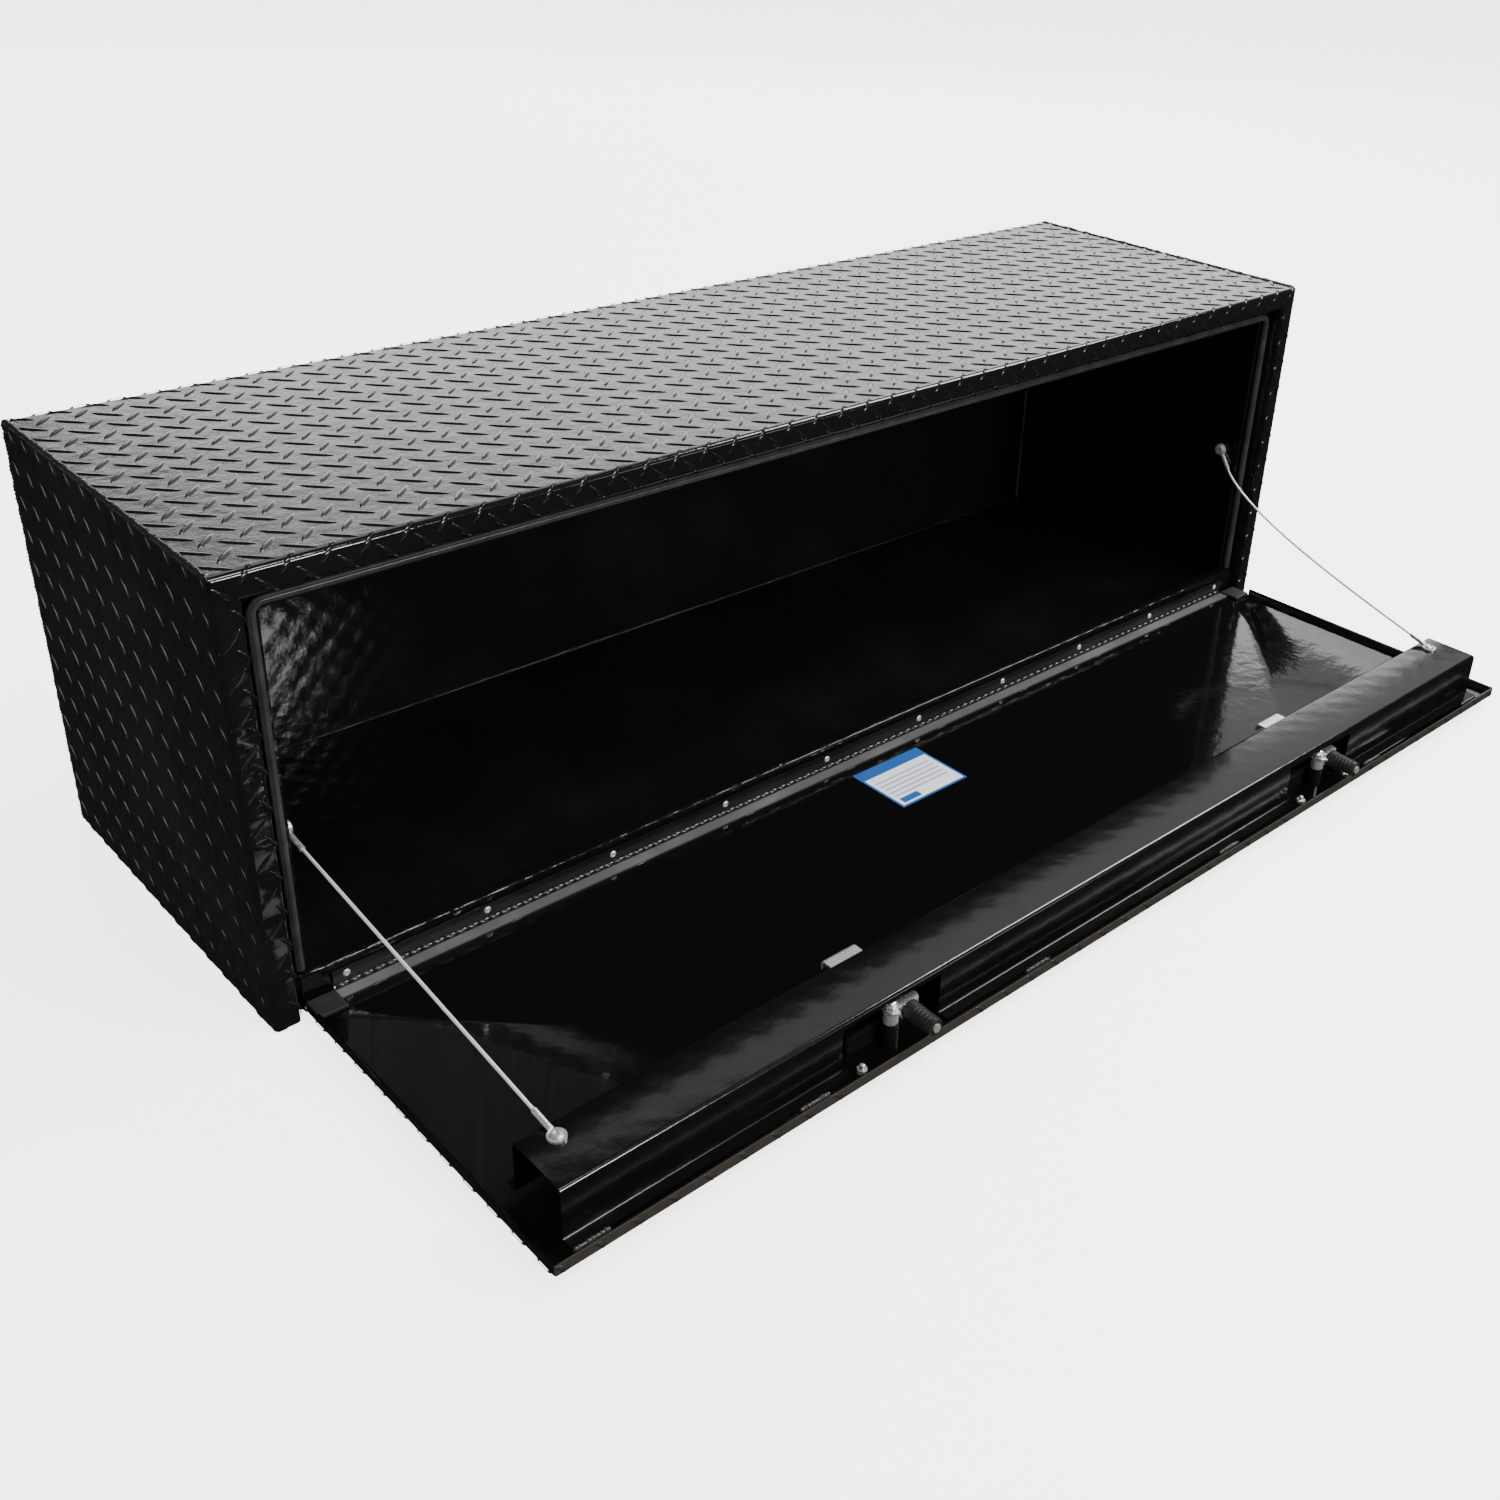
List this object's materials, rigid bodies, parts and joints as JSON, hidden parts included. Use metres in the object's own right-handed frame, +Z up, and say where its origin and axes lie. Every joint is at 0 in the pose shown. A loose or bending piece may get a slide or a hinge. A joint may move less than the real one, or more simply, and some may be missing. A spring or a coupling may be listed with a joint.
{
  "type": "underbody truck tool box",
  "caption": "Long black tread-plate underbody tool box with a hinged drop-down door, folding T-handle cam latches, a bulb seal and wire door stays.",
  "frame": {"origin": "middle of the body's flat underside; the open door is counted neither in length nor in depth", "axes": "+X along the box's length to the right seen from the front, the mouth and the open door face -Y, +Z up"},
  "size_m": [1.524, 0.8794, 0.4572],
  "materials": {
    "shell_coat": "satin black powder coat over aluminium tread plate",
    "frame_coat": "satin black powder coat over aluminium tread plate",
    "seal_rubber": "matte black bulb seal",
    "hinge_leaf_coat": "satin black powder coat",
    "hinge_door_leaf_coat": "worn satin black, greyer than the rest",
    "hinge_pin_steel": "bare steel",
    "rivet_steel": "bright domed heads",
    "bracket_coat": "satin black powder coat",
    "anchor_zinc": "bright zinc plate",
    "cable_wire": "twisted wire rope",
    "eye_zinc": "bright zinc plate",
    "door_coat": "smooth glossy black powder coat inside, raised tread outside",
    "channel_coat": "smooth glossy black powder coat",
    "pad_rubber": "matte black",
    "label_film": "satin printed film, left blank but for plain bars",
    "door_bolt_zinc": "bright zinc plate",
    "dish_coat": "black coated pressed steel",
    "nut_zinc": "bright zinc plate",
    "bracket_zinc": "bright zinc plate",
    "spindle_zinc": "bright zinc plate",
    "cam_zinc": "bright zinc plate",
    "strike_zinc": "bright zinc plate",
    "sleeve_rubber": "matte black with ridges at the tip",
    "handle_pin_zinc": "bright zinc plate",
    "handle_coat": "black coated cast steel"
  },
  "bodies": {
    "body": {"shell_wrap": "shell_coat", "end_panel_left": "shell_coat", "end_panel_right": "shell_coat", "frame_top_rail": "frame_coat", "frame_stile_left": "frame_coat", "frame_stile_right": "frame_coat", "frame_sill": "frame_coat", "door_seal": "seal_rubber", "hinge_body_leaf": "hinge_leaf_coat", "hinge_pin": "hinge_pin_steel", "hinge_rivet_01": "rivet_steel", "hinge_rivet_02": "rivet_steel", "hinge_rivet_03": "rivet_steel", "hinge_rivet_04": "rivet_steel", "hinge_rivet_05": "rivet_steel", "hinge_rivet_06": "rivet_steel", "hinge_rivet_07": "rivet_steel", "hinge_rivet_08": "rivet_steel", "hinge_rivet_09": "rivet_steel", "hinge_rivet_10": "rivet_steel", "cable_bracket_left": "bracket_coat", "cable_bracket_right": "bracket_coat", "cable_anchor_left": "anchor_zinc", "cable_anchor_right": "anchor_zinc", "cable_left": "cable_wire", "cable_right": "cable_wire", "cable_eye_upper_left": "eye_zinc", "cable_eye_upper_right": "eye_zinc"},
    "door": {"door_skin": "door_coat", "hinge_door_leaf": "hinge_door_leaf_coat", "latch_channel": "channel_coat", "corner_pad_left": "pad_rubber", "corner_pad_right": "pad_rubber", "door_label": "label_film", "door_bolt_left": "door_bolt_zinc", "door_bolt_right": "door_bolt_zinc", "cable_eye_lower_left": "eye_zinc", "cable_eye_lower_right": "eye_zinc", "latch_dish_left": "dish_coat", "latch_dish_right": "dish_coat", "dish_nut_left_a": "nut_zinc", "dish_nut_left_b": "nut_zinc", "dish_nut_right_a": "nut_zinc", "dish_nut_right_b": "nut_zinc", "tie_bracket_left": "bracket_zinc", "tie_bracket_right": "bracket_zinc"},
    "latch_left": {"spindle_left": "spindle_zinc", "cam_plate_left": "cam_zinc", "cam_nut_left": "nut_zinc", "strike_bolt_left": "strike_zinc", "bolt_sleeve_left": "sleeve_rubber", "handle_pin_left": "handle_pin_zinc"},
    "handle_left": {"t_handle_left": "handle_coat"},
    "latch_right": {"spindle_right": "spindle_zinc", "cam_plate_right": "cam_zinc", "cam_nut_right": "nut_zinc", "strike_bolt_right": "strike_zinc", "bolt_sleeve_right": "sleeve_rubber", "handle_pin_right": "handle_pin_zinc"},
    "handle_right": {"t_handle_right": "handle_coat"}
  },
  "joints": [
    {"name": "door_hinge", "type": "hinge", "parent": "body", "child": "door", "pos_m": [0, -0.2228, 0.016], "axis": [-1, 0, 0], "range_deg": [0, 90], "deforming": ["cable_left", "cable_right"]},
    {"name": "latch_left_turn", "type": "hinge", "parent": "door", "child": "latch_left", "pos_m": [-0.35, -0.6088, 0.04], "axis": [0, 0, 1], "range_deg": [0, 90]},
    {"name": "handle_left_fold", "type": "hinge", "parent": "latch_left", "child": "handle_left", "pos_m": [-0.35, -0.6088, 0.0052], "axis": [-1, 0, 0], "range_deg": [0, 90]},
    {"name": "latch_right_turn", "type": "hinge", "parent": "door", "child": "latch_right", "pos_m": [0.35, -0.6088, 0.04], "axis": [0, 0, 1], "range_deg": [0, 90]},
    {"name": "handle_right_fold", "type": "hinge", "parent": "latch_right", "child": "handle_right", "pos_m": [0.35, -0.6088, 0.0052], "axis": [-1, 0, 0], "range_deg": [0, 90]}
  ]
}
